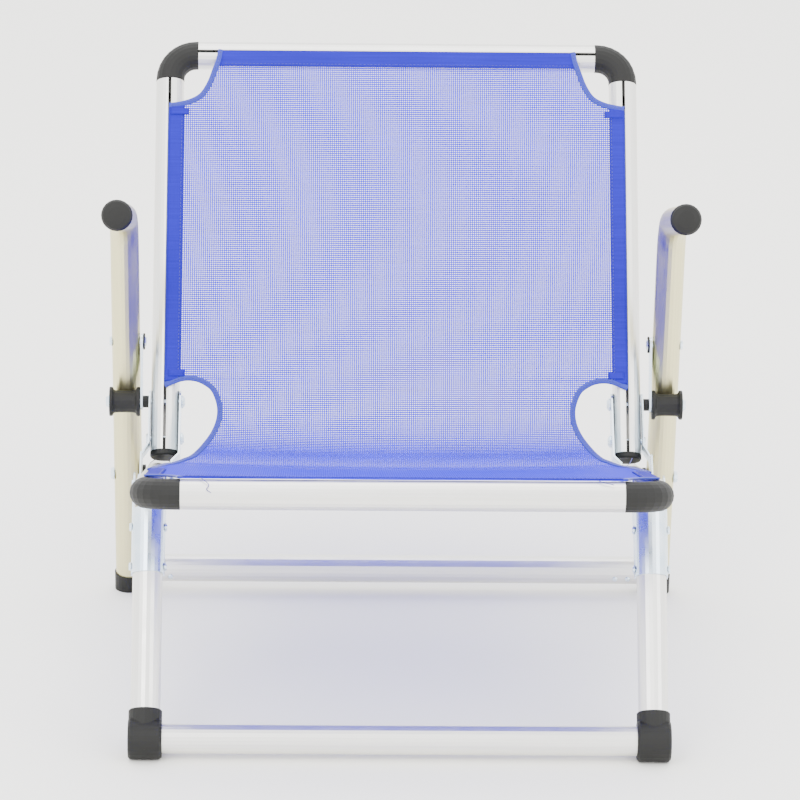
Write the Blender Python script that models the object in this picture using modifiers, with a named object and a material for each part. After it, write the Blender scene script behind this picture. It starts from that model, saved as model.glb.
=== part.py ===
"""Low folding beach armchair: aluminium tube frames, moulded corners, zinc-plated hinges, fabric sling.

X runs across the chair (+X is the sitter's left), the front faces -Y, Z is up, the ground is Z = 0.
Lengths below are in millimetres and are turned to metres by the constant MM.
"""
import math

import bmesh
import bpy
from mathutils import Matrix, Vector

MM = 0.001
Y_SHIFT = -285.9          # moves the front-foot line so that the chair's box is centred on Y = 0

# tube stock
R = 14.0                  # outer radius of every frame tube
R_IN = 12.4               # inner radius
R_PLUG = 12.05            # plastic spigot inside a tube
GAP = 0.3                 # air between touching pieces
SLOT = 3.0                # width of the channel that holds the fabric's hem

# half widths
X_SEAT = 236.0
X_ARM = 268.0
X_BACK = 229.0

# side profile, (Y, Z) before the shift
SEAT_FRONT = (5.6, 257.0)
SEAT_DIR = (0.95630, -0.29237)          # down to the rear
ARM_PIVOT = (415.0, 131.83)
ARM_DIR = (-0.17000, 0.98544)           # up the rear leg and arm
BACK_DIR = (0.55919, 0.82904)           # up the back
SHAFT = (373.7, 222.0)
LEG_FOOT = (0.0, 18.5)
LEG_DIR = (0.55194, 0.83389)            # up the front leg
PIVOT_GAP = 117.0                       # back pivot to arm pivot, along the seat tube
BACK_UP = 364.0                         # shaft to top tube, along the back
BACK_DOWN = 51.5                        # shaft to the lower end of the back tube
ARM_UP = 150.0                          # arm pivot to link bolt
LINK_PLANE = (251.3, 253.3)
BACK_ELBOW = 28.0                       # centre-line radii of the moulded corners
SEAT_ELBOW = 33.0
ARM_BEND = 52.0
ARM_CORNER = 286.0                      # arm pivot to the corner point
REST_LENGTH = 157.0
REST_TILT = 17.0                        # degrees, rising to the front

for leftover in list(bpy.data.objects):
    bpy.data.objects.remove(leftover, do_unlink=True)

parts = bpy.data.collections.new("folding_beach_chair")
cutters = bpy.data.collections.new("cutters")
bpy.context.scene.collection.children.link(parts)
bpy.context.scene.collection.children.link(cutters)


def material(name, colour, metallic, roughness):
    mat = bpy.data.materials.new(name)
    mat.use_nodes = True
    bsdf = mat.node_tree.nodes["Principled BSDF"]
    bsdf.inputs["Base Color"].default_value = (*colour, 1.0)
    bsdf.inputs["Metallic"].default_value = metallic
    bsdf.inputs["Roughness"].default_value = roughness
    return mat


ALU = material("aluminium_tube", (0.80, 0.79, 0.76), 1.0, 0.25)
ZINC = material("zinc_plated_steel", (0.62, 0.66, 0.74), 1.0, 0.3)
PLASTIC = material("moulded_plastic", (0.045, 0.045, 0.042), 0.0, 0.5)
FABRIC = material("sling_fabric", (0.12, 0.2, 0.72), 0.0, 0.8)


def at(point, direction, along, across=0.0):
    """A (Y, Z) point carried along a direction and square to it."""
    y = point[0] + direction[0] * along + direction[1] * across
    z = point[1] + direction[1] * along - direction[0] * across
    return (y, z)


BACK_PIVOT = at(ARM_PIVOT, SEAT_DIR, -PIVOT_GAP)
LOWER_BOLT = at(SHAFT, BACK_DIR, -38.0)
LINK_BOLT = at(ARM_PIVOT, ARM_DIR, ARM_UP)
BACK_TOP = at(SHAFT, BACK_DIR, BACK_UP)
LEG_PIVOT = at(LEG_FOOT, LEG_DIR, 249.0, 28.8)


def side_frame(x, point, direction):
    """Local X across the chair, local Z along the direction, local Y square to both."""
    dy, dz = direction
    frame = Matrix(((1, 0, 0, x), (0, dz, dy, point[0] + Y_SHIFT), (0, -dy, dz, point[1]), (0, 0, 0, 1)))
    return frame


def cross_frame(x, point):
    """Local Z along world X, local X along world Y, local Y along world Z."""
    return Matrix(((0, 0, 1, x), (1, 0, 0, point[0] + Y_SHIFT), (0, 1, 0, point[1]), (0, 0, 0, 1)))


def plane_frame(point, direction):
    """Local X across the chair, local Y along the direction, local Z out of the plane."""
    dy, dz = direction
    return Matrix(((1, 0, 0, 0), (0, dy, -dz, point[0] + Y_SHIFT), (0, dz, dy, point[1]), (0, 0, 0, 1)))


def outward(mesh):
    work = bmesh.new()
    work.from_mesh(mesh)
    bmesh.ops.remove_doubles(work, verts=work.verts, dist=0.002)
    bmesh.ops.recalc_face_normals(work, faces=work.faces)
    if work.calc_volume(signed=True) < 0:
        bmesh.ops.reverse_faces(work, faces=work.faces)
    work.to_mesh(mesh)
    work.free()


def baked(holder, name, frame):
    """The evaluated shape of an object as a plain mesh object, carried by a frame."""
    bpy.context.view_layer.update()
    graph = bpy.context.evaluated_depsgraph_get()
    mesh = bpy.data.meshes.new_from_object(holder.evaluated_get(graph))
    bpy.data.objects.remove(holder, do_unlink=True)
    mesh.name = name
    outward(mesh)
    mesh.transform(frame)
    solid = bpy.data.objects.new(name, mesh)
    bpy.context.scene.collection.objects.link(solid)
    return solid


def revolve(name, profile, frame, steps=24, closed=True):
    """A profile of (radius, height) points turned round local Z with the Screw modifier."""
    mesh = bpy.data.meshes.new(name)
    count = len(profile)
    edges = [(i, (i + 1) % count) for i in range(count if closed else count - 1)]
    mesh.from_pydata([(r, 0.0, z) for r, z in profile], edges, [])
    holder = bpy.data.objects.new(name, mesh)
    bpy.context.scene.collection.objects.link(holder)
    screw = holder.modifiers.new("turn", "SCREW")
    screw.steps = steps
    screw.render_steps = steps
    screw.use_merge_vertices = True
    screw.merge_threshold = 0.0001
    return baked(holder, name, frame)


def rod(name, radius, z0, z1, frame, steps=24, chamfer=0.0):
    profile = [(0.0, z0), (radius - chamfer, z0), (radius, z0 + chamfer), (radius, z1 - chamfer),
               (radius - chamfer, z1), (0.0, z1)]
    if chamfer == 0.0:
        profile = [(0.0, z0), (radius, z0), (radius, z1), (0.0, z1)]
    return revolve(name, profile, frame, steps, closed=False)


def pipe(name, z0, z1, frame, r_out=R, r_in=R_IN, steps=24):
    return revolve(name, [(r_in, z0), (r_out, z0), (r_out, z1), (r_in, z1)], frame, steps)


def swept(name, points, radius, resolution=4):
    """A round bar along a path of world points."""
    curve = bpy.data.curves.new(name, "CURVE")
    curve.dimensions = "3D"
    curve.bevel_depth = radius
    curve.bevel_resolution = resolution
    curve.use_fill_caps = True
    curve.resolution_u = 1
    curve.render_resolution_u = 0
    spline = curve.splines.new("POLY")
    spline.points.add(len(points) - 1)
    for slot, point in zip(spline.points, points):
        slot.co = (*point, 1.0)
    holder = bpy.data.objects.new(name, curve)
    bpy.context.scene.collection.objects.link(holder)
    return baked(holder, name, Matrix.Identity(4))


def sheet_solid(name, outline, thickness, frame):
    """A closed outline in local X, Y, extruded half the thickness each way along local Z."""
    curve = bpy.data.curves.new(name, "CURVE")
    curve.dimensions = "2D"
    curve.fill_mode = "BOTH"
    curve.extrude = thickness / 2
    curve.resolution_u = 1
    curve.render_resolution_u = 0
    spline = curve.splines.new("POLY")
    spline.points.add(len(outline) - 1)
    for slot, point in zip(spline.points, outline):
        slot.co = (point[0], point[1], 0.0, 1.0)
    spline.use_cyclic_u = True
    holder = bpy.data.objects.new(name, curve)
    bpy.context.scene.collection.objects.link(holder)
    return baked(holder, name, frame)


def combine(solid, tool, operation):
    """Boolean of two mesh objects, applied; the tool stays in the cutters' collection."""
    bpy.context.view_layer.update()
    cut = solid.modifiers.new("boolean", "BOOLEAN")
    cut.operation = operation
    cut.solver = "EXACT"
    cut.object = tool
    bpy.context.view_layer.update()
    graph = bpy.context.evaluated_depsgraph_get()
    mesh = bpy.data.meshes.new_from_object(solid.evaluated_get(graph))
    solid.modifiers.clear()
    solid.data = mesh
    outward(mesh)
    return solid


def retire(tool):
    """A used tool goes to the cutters' collection, out of the render, drawn as wire."""
    for home in list(tool.users_collection):
        home.objects.unlink(tool)
    cutters.objects.link(tool)
    tool.hide_render = True
    tool.display_type = "WIRE"
    tool.data.materials.clear()


def arc(centre, radius, start, end, count):
    """Points on a circle, angles in degrees."""
    found = []
    for i in range(count + 1):
        angle = math.radians(start + (end - start) * i / count)
        found.append((centre[0] + radius * math.cos(angle), centre[1] + radius * math.sin(angle)))
    return found


def hull(circles, count=20):
    """The convex outline round a set of (centre, radius) circles."""
    cloud = []
    for centre, radius in circles:
        cloud += arc(centre, radius, 0.0, 360.0 - 360.0 / count, count - 1)
    cloud = sorted(set((round(a, 4), round(b, 4)) for a, b in cloud))

    def chain(points):
        out = []
        for p in points:
            while len(out) > 1:
                ax, ay = out[-1][0] - out[-2][0], out[-1][1] - out[-2][1]
                if ax * (p[1] - out[-2][1]) - ay * (p[0] - out[-2][0]) > 0:
                    break
                out.pop()
            out.append(p)
        return out[:-1]

    return chain(cloud) + chain(cloud[::-1])


BODIES = {}


def finish(solid, mat, pivot=None, mirror=True):
    """Scale to metres, give the material and the origin, and add the mirrored twin."""
    place = Vector((0.0, 0.0, 0.0))
    if pivot is not None:
        place = Vector((0.0, pivot[0] + Y_SHIFT, pivot[1]))
    base = solid.name
    for side in (("left", "right") if mirror else ("",)):
        mesh = solid.data.copy()
        if side == "right":
            mesh.transform(Matrix.Scale(-1.0, 4, Vector((1, 0, 0))))
            mesh.flip_normals()
        mesh.transform(Matrix.Translation(-place))
        mesh.transform(Matrix.Scale(MM, 4))
        mesh.materials.clear()
        mesh.materials.append(mat)
        name = f"{base}_{side}" if mirror else base + "_piece"
        twin = bpy.data.objects.new(name, mesh)
        twin.location = place * MM
        parts.objects.link(twin)
        if not mirror:
            BODIES[base] = twin
    bpy.data.objects.remove(solid, do_unlink=True)
    if not mirror:
        twin.name = base
        twin.data.name = base


DRILLS = []


def drill(x0, x1, point, radius=3.3):
    tool = rod(f"drill_{len(DRILLS)}", radius, x0, x1, cross_frame(0.0, point), steps=12)
    DRILLS.append(tool)
    return tool


hole_shaft = drill(205.0, 300.0, SHAFT)
hole_lower = drill(205.0, 255.0, LOWER_BOLT)
hole_back = drill(205.0, 260.0, BACK_PIVOT)
hole_arm = drill(205.0, 300.0, ARM_PIVOT)
hole_link = drill(240.0, 300.0, LINK_BOLT)
hole_leg = drill(205.0, 260.0, LEG_PIVOT)
RIVET_LOW = at(LEG_FOOT, LEG_DIR, 163.0)
RIVET_HIGH = at(LEG_FOOT, LEG_DIR, 201.0)
hole_rivet_low = drill(205.0, 260.0, RIVET_LOW, 2.5)
hole_rivet_high = drill(205.0, 260.0, RIVET_HIGH, 2.5)


def channel(name, frame, z0, z1, side=-1.0):
    """A box that opens the hem's channel in a tube, on the local +Y or -Y side."""
    outline = [(-SLOT / 2, side * 10.0), (SLOT / 2, side * 10.0), (SLOT / 2, side * 17.0), (-SLOT / 2, side * 17.0)]
    return sheet_solid(name, outline, z1 - z0, frame @ Matrix.Translation((0, 0, (z0 + z1) / 2)))


# ---- seat frame -------------------------------------------------------------------------------
seat_len = 452.0
frame = side_frame(X_SEAT, SEAT_FRONT, SEAT_DIR)
side = pipe("seat_side_tube", SEAT_ELBOW + GAP, seat_len, frame)
groove = channel("cut_seat_channel", frame, SEAT_ELBOW - 5.0, 190.0)
combine(side, groove, "DIFFERENCE")
for hole in (hole_back, hole_arm, hole_leg):
    combine(side, hole, "DIFFERENCE")
finish(side, ALU)
retire(groove)

front_half = X_SEAT - SEAT_ELBOW - GAP
tube = pipe("seat_front_tube", -front_half, front_half, cross_frame(0.0, SEAT_FRONT))
groove_frame = cross_frame(0.0, SEAT_FRONT) @ Matrix.Rotation(math.radians(-17.0), 4, "Z")
groove = channel("cut_front_channel", groove_frame, -front_half - 5.0, front_half + 5.0, 1.0)
combine(tube, groove, "DIFFERENCE")
finish(tube, ALU, mirror=False)
retire(groove)


def corner(name, centre, a_dir, b_dir, radius, bar, plug, reach):
    """A quarter bend of two square directions with a spigot at each end."""
    a = Vector(a_dir)
    b = Vector(b_dir)
    c = Vector(centre)
    start, end = c - a * radius, c - b * radius
    tight = radius - 2.0
    inner = c - (a + b) * 2.0
    points = [start]
    for i in range(9):
        angle = math.radians(90.0 * i / 8)
        points.append(inner - a * tight * math.cos(angle) - b * tight * math.sin(angle))
    points.append(end)
    solid = swept(name, points, bar, 8)
    for tag, foot, way in (("a", start, b), ("b", end, a)):
        spigot = swept(f"tool_{name}_{tag}", [foot - way * 3.0, foot + way * reach], plug, 4)
        combine(solid, spigot, "UNION")
        retire(spigot)
    return solid


# the seat corner turns from the cross direction (-X) to the seat direction
seat_way = (0.0, SEAT_DIR[0], SEAT_DIR[1])
cy, cz = at(SEAT_FRONT, SEAT_DIR, SEAT_ELBOW)
elbow = corner("seat_elbow", (X_SEAT - SEAT_ELBOW, cy + Y_SHIFT, cz), (-1.0, 0.0, 0.0), seat_way,
               SEAT_ELBOW, R + 0.2, R_PLUG, 16.0)
finish(elbow, PLASTIC)
cap_profile = [(0.0, -10.0), (R_PLUG, -10.0), (R_PLUG, GAP), (R + 0.6, GAP), (R + 0.6, 3.5), (R - 2.0, 6.0), (0.0, 6.0)]
cap = revolve("seat_end_cap", cap_profile, side_frame(X_SEAT, at(SEAT_FRONT, SEAT_DIR, seat_len), SEAT_DIR),
              closed=False)
finish(cap, PLASTIC)

# ---- back frame -------------------------------------------------------------------------------
frame = side_frame(X_BACK, SHAFT, BACK_DIR)
side = pipe("back_side_tube", -BACK_DOWN, BACK_UP - BACK_ELBOW - GAP, frame)
groove = channel("cut_back_channel", frame, -BACK_DOWN - 4.0, BACK_UP)
combine(side, groove, "DIFFERENCE")
for hole in (hole_shaft, hole_lower):
    combine(side, hole, "DIFFERENCE")
finish(side, ALU, BACK_PIVOT)
retire(groove)
top_half = X_BACK - BACK_ELBOW - GAP
tube = pipe("back_top_tube", -top_half, top_half, cross_frame(0.0, BACK_TOP))
groove_frame = cross_frame(0.0, BACK_TOP) @ Matrix.Rotation(math.radians(56.0), 4, "Z")
groove = channel("cut_top_channel", groove_frame, -top_half - 5.0, top_half + 5.0, 1.0)
combine(tube, groove, "DIFFERENCE")
finish(tube, ALU, BACK_PIVOT, mirror=False)
retire(groove)
back_way = (0.0, -BACK_DIR[0], -BACK_DIR[1])
cy, cz = at(BACK_TOP, BACK_DIR, -BACK_ELBOW)
elbow = corner("back_elbow", (X_BACK - BACK_ELBOW, cy + Y_SHIFT, cz), (-1.0, 0.0, 0.0), back_way,
               BACK_ELBOW, R + 0.2, R_PLUG, 16.0)
finish(elbow, PLASTIC, BACK_PIVOT)
down = (-BACK_DIR[0], -BACK_DIR[1])
cap_low = [(0.0, -12.0), (R_PLUG, -12.0), (R_PLUG, GAP), (R + 0.2, GAP), (R + 0.2, 4.5), (R - 1.0, 6.0), (0.0, 6.0)]
cap = revolve("back_end_cap", cap_low, side_frame(X_BACK, at(SHAFT, BACK_DIR, -BACK_DOWN), down), closed=False)
combine(cap, hole_lower, "DIFFERENCE")
finish(cap, PLASTIC, BACK_PIVOT)

# hinge plates: a strip with a set-over between the back tube's line and the seat tube's line
PLATE = 1.5
plate_outline = hull([(SHAFT, 11.0), (LOWER_BOLT, 11.0), (BACK_PIVOT, 11.5)])


def hinge_plate(name, x_back, x_seat, begin, finish_at):
    """A set-over strip cut to the hinge outline."""
    frame = side_frame(0.0, SHAFT, BACK_DIR)
    path = [(x_back, 20.0), (x_back, -begin), (x_seat, -finish_at), (x_seat, -120.0)]
    mesh = bpy.data.meshes.new(name)
    mesh.from_pydata([(x, -45.0, z) for x, z in path], [(i, i + 1) for i in range(3)], [])
    holder = bpy.data.objects.new(name, mesh)
    bpy.context.scene.collection.objects.link(holder)
    wide = holder.modifiers.new("width", "SCREW")
    wide.angle = 0.0
    wide.axis = "Y"
    wide.screw_offset = 75.0
    wide.steps = 1
    wide.render_steps = 1
    thick = holder.modifiers.new("thickness", "SOLIDIFY")
    thick.thickness = PLATE
    thick.offset = 0.0
    thick.use_even_offset = True
    strip = baked(holder, name, frame)
    tool = sheet_solid(f"tool_{name}", plate_outline, 120.0, cross_frame(235.0, (0.0, 0.0)))
    combine(strip, tool, "INTERSECT")
    retire(tool)
    return strip


outer_x = (X_BACK + R + GAP + PLATE / 2, X_SEAT + R + GAP + PLATE / 2)
inner_x = (X_BACK - R - GAP - PLATE / 2, X_SEAT - R - GAP - PLATE / 2)
plate = hinge_plate("hinge_plate_outer", outer_x[0], outer_x[1], 46.0, 58.0)
# relief in the front edge: with the back folded this edge lies along the seat tube
relief_way = (math.cos(math.radians(63.0)), math.sin(math.radians(63.0)))
relief_across = (relief_way[1], -relief_way[0])
relief_ends = [(27.0, -60.0), (27.0, 13.0), (115.0, 13.0), (115.0, -60.0)]
relief = [(BACK_PIVOT[0] + relief_way[0] * a + relief_across[0] * h,
           BACK_PIVOT[1] + relief_way[1] * a + relief_across[1] * h) for a, h in relief_ends]
tool = sheet_solid("tool_relief", relief, 120.0, cross_frame(235.0, (0.0, 0.0)))
combine(plate, tool, "DIFFERENCE")
retire(tool)
for hole in (hole_shaft, hole_lower, hole_back):
    combine(plate, hole, "DIFFERENCE")
finish(plate, ZINC, BACK_PIVOT)
plate = hinge_plate("hinge_plate_inner", inner_x[0], inner_x[1], 60.5, 68.5)
for hole in (hole_shaft, hole_lower, hole_back):
    combine(plate, hole, "DIFFERENCE")
finish(plate, ZINC, BACK_PIVOT)


def bolt(name, x0, x1, point, mat, pivot, head_in=(6.5, 3.5), head_out=(6.0, 3.0), shank=3.0):
    """A shank across the chair with a domed head at each end."""
    ri, hi = head_in
    ro, ho = head_out
    profile = [(0.0, x0 - hi), (ri * 0.6, x0 - hi), (ri, x0 - hi * 0.4), (ri, x0),
               (shank, x0), (shank, x1), (ro, x1), (ro * 0.8, x1 + ho), (0.0, x1 + ho)]
    solid = revolve(name, profile, cross_frame(0.0, point), steps=10, closed=False)
    finish(solid, mat, pivot)


INNER_FACE = X_BACK - R - GAP - PLATE
OUTER_FACE = X_BACK + R + GAP + PLATE
s0, s1, sm = 253.9, 284.2, X_ARM
x_head = INNER_FACE - GAP
# the shank stops at the link's plane and starts again in the spool, so the open pivot is clear
shank = [(0.0, x_head - 3.5), (3.9, x_head - 3.5), (6.5, x_head - 1.4), (6.5, x_head), (3.0, x_head),
         (3.0, LINK_PLANE[0] - GAP), (0.0, LINK_PLANE[0] - GAP)]
finish(revolve("shaft_bolt", shank, cross_frame(0.0, SHAFT), 12, closed=False), ZINC, BACK_PIVOT)
shank = [(0.0, s0), (3.0, s0), (3.0, s1 + GAP), (6.0, s1 + GAP), (4.8, s1 + 3.4), (0.0, s1 + 3.4)]
finish(revolve("spool_bolt", shank, cross_frame(0.0, SHAFT), 12, closed=False), ZINC, BACK_PIVOT)
bolt("lower_bolt", INNER_FACE - GAP, OUTER_FACE + GAP, LOWER_BOLT, ZINC, BACK_PIVOT, (6.0, 3.0), (5.5, 2.2))
spacer = pipe("link_spacer", OUTER_FACE + GAP, LINK_PLANE[0] - GAP, cross_frame(0.0, SHAFT), 6.0, 3.3, 14)
finish(spacer, PLASTIC, BACK_PIVOT)
spool_profile = [(3.3, s0), (14.2, s0), (14.6, s0 + 0.6), (14.6, s0 + 2.6), (14.0, s0 + 3.4), (11.9, s0 + 4.2),
                 (11.2, s0 + 5.6), (10.9, sm - 6.0), (10.8, sm), (10.9, sm + 6.0), (11.2, s1 - 5.6),
                 (11.9, s1 - 4.2), (14.0, s1 - 3.4), (14.6, s1 - 2.6), (14.6, s1 - 0.6), (14.2, s1), (3.3, s1)]
spool = revolve("stop_spool", spool_profile, cross_frame(0.0, SHAFT), 16)
finish(spool, PLASTIC, BACK_PIVOT)

# ---- pivots on the seat frame -----------------------------------------------------------------
plate_in = X_SEAT - R - GAP - PLATE
plate_out = X_SEAT + R + GAP + PLATE
bolt("back_pivot_bolt", plate_in - GAP, plate_out + GAP, BACK_PIVOT, ZINC, None, (6.0, 3.0), (5.0, 1.6))
bolt("arm_pivot_bolt", X_SEAT - R - GAP, X_ARM + R + GAP, ARM_PIVOT, ZINC, None, (6.5, 3.5), (6.5, 3.2))
washer = pipe("arm_pivot_washer", X_SEAT + R + GAP, X_ARM - R - GAP, cross_frame(0.0, ARM_PIVOT), 9.0, 3.3, 16)
finish(washer, PLASTIC)
LEG_PLATE = 1.3
leg_in = X_SEAT - R - GAP - LEG_PLATE
leg_out = X_SEAT + R + GAP + LEG_PLATE
bolt("leg_pivot_bolt", leg_in - GAP, leg_out + GAP, LEG_PIVOT, ZINC, None, (6.0, 2.6), (5.0, 1.6))

# ---- arm and rear-leg frame -------------------------------------------------------------------
foot_t = -ARM_PIVOT[1] / ARM_DIR[1]
corner_point = at(ARM_PIVOT, ARM_DIR, ARM_CORNER)
tilt = math.radians(REST_TILT)
rest_dir = (-math.cos(tilt), math.sin(tilt))
turn = math.acos(ARM_DIR[0] * rest_dir[0] + ARM_DIR[1] * rest_dir[1])
tangent = ARM_BEND * math.tan(turn / 2)


def arm_path(low, high, x=X_ARM):
    """The bent tube's centre line, from a distance along the leg to one along the rest."""
    first = at(ARM_PIVOT, ARM_DIR, ARM_CORNER - tangent)
    centre = (first[0] - ARM_DIR[1] * ARM_BEND, first[1] + ARM_DIR[0] * ARM_BEND)
    line = [at(ARM_PIVOT, ARM_DIR, low)]
    for i in range(9):
        a = turn * i / 8
        ray = (ARM_DIR[1] * math.cos(a) + ARM_DIR[0] * math.sin(a),
               -ARM_DIR[0] * math.cos(a) + ARM_DIR[1] * math.sin(a))
        line.append((centre[0] + ARM_BEND * ray[0], centre[1] + ARM_BEND * ray[1]))
    line.append((corner_point[0] + rest_dir[0] * high, corner_point[1] + rest_dir[1] * high))
    return [(x, y + Y_SHIFT, z) for y, z in line]


tube_low = foot_t + 5.0
arm = swept("arm_tube", arm_path(tube_low, REST_LENGTH), R, 10)
bore = swept("tool_arm_bore", arm_path(tube_low - 10.0, REST_LENGTH + 10.0), R_IN, 10)
combine(arm, bore, "DIFFERENCE")
retire(bore)
CROSS_T = foot_t + 24.0
cross_point = at(ARM_PIVOT, ARM_DIR, CROSS_T)
for hole in (hole_arm, hole_link):
    combine(arm, hole, "DIFFERENCE")
finish(arm, ALU, ARM_PIVOT)
half = X_ARM - R - GAP
tube = pipe("rear_cross_tube", -half, half, cross_frame(0.0, cross_point))
saddles = []
for sign in (-1.0, 1.0):
    saddle = rod("tool_saddle", R + GAP, -60.0, 60.0, side_frame(sign * X_ARM, cross_point, ARM_DIR), 48)
    combine(tube, saddle, "DIFFERENCE")
    retire(saddle)
finish(tube, ALU, ARM_PIVOT, mirror=False)
cap_profile = [(0.0, -14.0), (R_PLUG, -14.0), (R_PLUG, GAP), (R + 0.9, GAP), (R + 0.9, 3.5), (R - 1.0, 6.5),
               (R - 6.0, 8.0), (0.0, 8.6)]
cap_at = (corner_point[0] + rest_dir[0] * REST_LENGTH, corner_point[1] + rest_dir[1] * REST_LENGTH)
cap = revolve("arm_front_cap", cap_profile, side_frame(X_ARM, cap_at, rest_dir), closed=False)
finish(cap, PLASTIC, ARM_PIVOT)
foot_profile = [(0.0, -14.0), (R + 1.2, -14.0), (R + 1.2, 20.0), (R + GAP, 20.0), (R + GAP, 5.0 - GAP), (0.0, 5.0 - GAP)]
foot_frame = side_frame(X_ARM, at(ARM_PIVOT, ARM_DIR, foot_t), ARM_DIR)
rear = revolve("rear_foot_cap", foot_profile, foot_frame, closed=False)
ground = sheet_solid("cut_ground", [(-400, -400), (400, -400), (400, 400), (-400, 400)], 60.0,
                     Matrix.Translation((0, 0, -30.0)))
ground.scale = (2.0, 2.0, 1.0)
combine(rear, ground, "DIFFERENCE")
notch = rod("tool_notch", R + GAP, 200.0, X_ARM + 2.0, cross_frame(0.0, cross_point), 32)
combine(rear, notch, "DIFFERENCE")
retire(notch)
finish(rear, PLASTIC, ARM_PIVOT)
bolt("link_bolt", LINK_PLANE[0] - GAP, X_ARM + R + GAP, LINK_BOLT, ZINC, ARM_PIVOT, (6.5, 3.2), (5.0, 2.0))

# ---- links ------------------------------------------------------------------------------------
outline = hull([(SHAFT, 8.0), (LINK_BOLT, 7.5)])
mid = (LINK_PLANE[0] + LINK_PLANE[1]) / 2
strip = sheet_solid("link_strip", outline, LINK_PLANE[1] - LINK_PLANE[0], cross_frame(mid, (0.0, 0.0)))
open_hole = drill(240.0, 262.0, SHAFT, 4.0)
combine(strip, open_hole, "DIFFERENCE")
combine(strip, hole_link, "DIFFERENCE")
finish(strip, ZINC, LINK_BOLT)

# ---- front leg frame --------------------------------------------------------------------------
leg_frame = side_frame(X_SEAT, LEG_FOOT, LEG_DIR)
leg = pipe("leg_tube", 12.5, 217.0, leg_frame)
for hole in (hole_rivet_low, hole_rivet_high):
    combine(leg, hole, "DIFFERENCE")
finish(leg, ALU, LEG_PIVOT)
r_web = R + GAP + LEG_PLATE
u_outline = arc((0.0, 0.0), r_web, 180.0, 360.0, 14) + [(r_web, 46.0), (r_web - LEG_PLATE, 46.0)]
u_outline += arc((0.0, 0.0), r_web - LEG_PLATE, 360.0, 180.0, 14) + [(-r_web + LEG_PLATE, 46.0), (-r_web, 46.0)]
bracket = sheet_solid("leg_bracket", u_outline, 120.0, leg_frame @ Matrix.Translation((0, 0, 214.0)))
side_cut = [(156.0, -18.0), (218.0, -18.0), (218.0, 0.6), (230.0, 2.0), (246.0, 16.0)]
side_cut += arc((249.0, 28.8), 12.0, -68.0, 90.0, 10) + [(236.0, 39.0), (206.0, 17.0), (156.0, 9.0)]
side_poly = [at(LEG_FOOT, LEG_DIR, t, v) for t, v in side_cut]
tool = sheet_solid("tool_bracket", side_poly, 60.0, cross_frame(X_SEAT, (0.0, 0.0)))
combine(bracket, tool, "INTERSECT")
retire(tool)
for hole in (hole_leg, hole_rivet_low, hole_rivet_high):
    combine(bracket, hole, "DIFFERENCE")
finish(bracket, ZINC, LEG_PIVOT)
for tag, point in (("low", RIVET_LOW), ("high", RIVET_HIGH)):
    bolt(f"leg_rivet_{tag}", leg_in - GAP, leg_out + GAP, point, ZINC, LEG_PIVOT, (4.2, 1.8), (4.2, 1.8), 2.2)

foot = rod("leg_foot", R + 1.7, -13.0, 27.0, leg_frame, 24, 1.2)
shoe = rod("tool_shoe", 19.5, X_SEAT - 15.6, X_SEAT + 15.6, cross_frame(0.0, LEG_FOOT), 24, 2.0)
combine(foot, shoe, "UNION")
retire(shoe)
socket = rod("tool_socket", R + GAP, 12.5 - GAP, 60.0, leg_frame, 24)
combine(foot, socket, "DIFFERENCE")
retire(socket)
spigot = rod("tool_spigot", R_PLUG, X_SEAT - 32.0, X_SEAT - 10.0, cross_frame(0.0, LEG_FOOT), 20)
combine(foot, spigot, "UNION")
retire(spigot)
combine(foot, ground, "DIFFERENCE")
finish(foot, PLASTIC, LEG_PIVOT)
retire(ground)
low_half = X_SEAT - 15.6 - GAP
tube = pipe("leg_cross_tube", -low_half, low_half, cross_frame(0.0, LEG_FOOT))
finish(tube, ALU, LEG_PIVOT, mirror=False)

# ---- sling, held as two plain panels ----------------------------------------------------------
CLOTH = 1.2
lift = R + 0.5 + CLOTH / 2
seat_frame = plane_frame(at(SEAT_FRONT, SEAT_DIR, 0.0), SEAT_DIR) @ Matrix.Translation((0, 0, lift))
edge = [(X_SEAT - 34.0, 6.0), (X_SEAT - 8.0, 34.0), (X_SEAT, 42.0), (X_SEAT, 172.0), (214.0, 182.0),
        (196.0, 204.0), (184.0, 240.0), (178.0, 285.0)]
outline = edge + [(-x, y) for x, y in reversed(edge)]
panel = sheet_solid("seat_fabric", outline, CLOTH, seat_frame)
finish(panel, FABRIC, mirror=False)
back_frame = plane_frame(SHAFT, BACK_DIR) @ Matrix.Translation((0, 0, lift))
edge = [(178.0, -44.0), (177.0, -10.0), (186.0, 14.0), (204.0, 30.0), (X_BACK, 38.0), (X_BACK, 296.0),
        (200.0, 306.0), (184.0, 326.0), (178.0, BACK_UP - 2.0)]
outline = edge + [(-x, y) for x, y in reversed(edge)]
panel = sheet_solid("back_fabric", outline, CLOTH, back_frame)
finish(panel, FABRIC, BACK_PIVOT, mirror=False)

for tool in DRILLS:
    retire(tool)
print("parts", len(parts.objects), "faces", sum(len(o.data.polygons) for o in parts.objects))
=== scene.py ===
"""Looks of a low folding beach armchair: mesh sling, hems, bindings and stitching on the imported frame.

All lengths are in metres. +X is the sitter's left, the front faces -Y, Z is up, the ground is Z = 0.
"""
import math

import bmesh
import bpy
import numpy as np
from bpy.props import FloatProperty, PointerProperty, StringProperty
from mathutils import Matrix, Vector


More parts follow.
